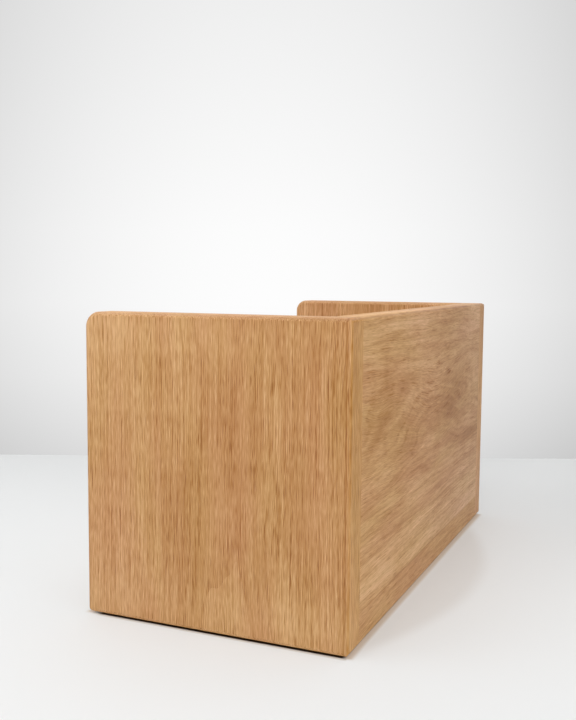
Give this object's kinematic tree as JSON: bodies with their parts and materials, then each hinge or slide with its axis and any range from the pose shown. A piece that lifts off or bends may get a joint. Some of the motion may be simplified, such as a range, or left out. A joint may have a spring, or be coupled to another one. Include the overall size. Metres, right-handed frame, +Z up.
{
  "type": "record storage box",
  "caption": "Open-topped solid oak box for upright 12 inch records: full-height end panels, a high back panel, a low front lip, a bottom board and thin pads.",
  "frame": {"origin": "on the surface that the box stands on, under the middle of the box", "axes": "+X along the box's length, +Y towards the high back panel, with the low front lip facing -Y, +Z up"},
  "size_m": [0.37, 0.184, 0.2012],
  "materials": {
    "oak": "satin oil",
    "beech": "raw",
    "pad_rubber": "matte"
  },
  "bodies": {
    "root": {"end_panel_right": "oak", "end_panel_left": "oak", "back_panel": "oak", "front_lip": "oak", "bottom_board": "oak", "dowels_right_back": "beech", "dowels_left_back": "beech", "dowels_right_lip": "beech", "dowels_left_lip": "beech", "dowels_right_base": "beech", "dowels_left_base": "beech", "dowels_back_base": "beech", "dowels_lip_base": "beech", "pad_front_right": "pad_rubber", "pad_front_left": "pad_rubber", "pad_back_right": "pad_rubber", "pad_back_left": "pad_rubber"}
  },
  "joints": []
}
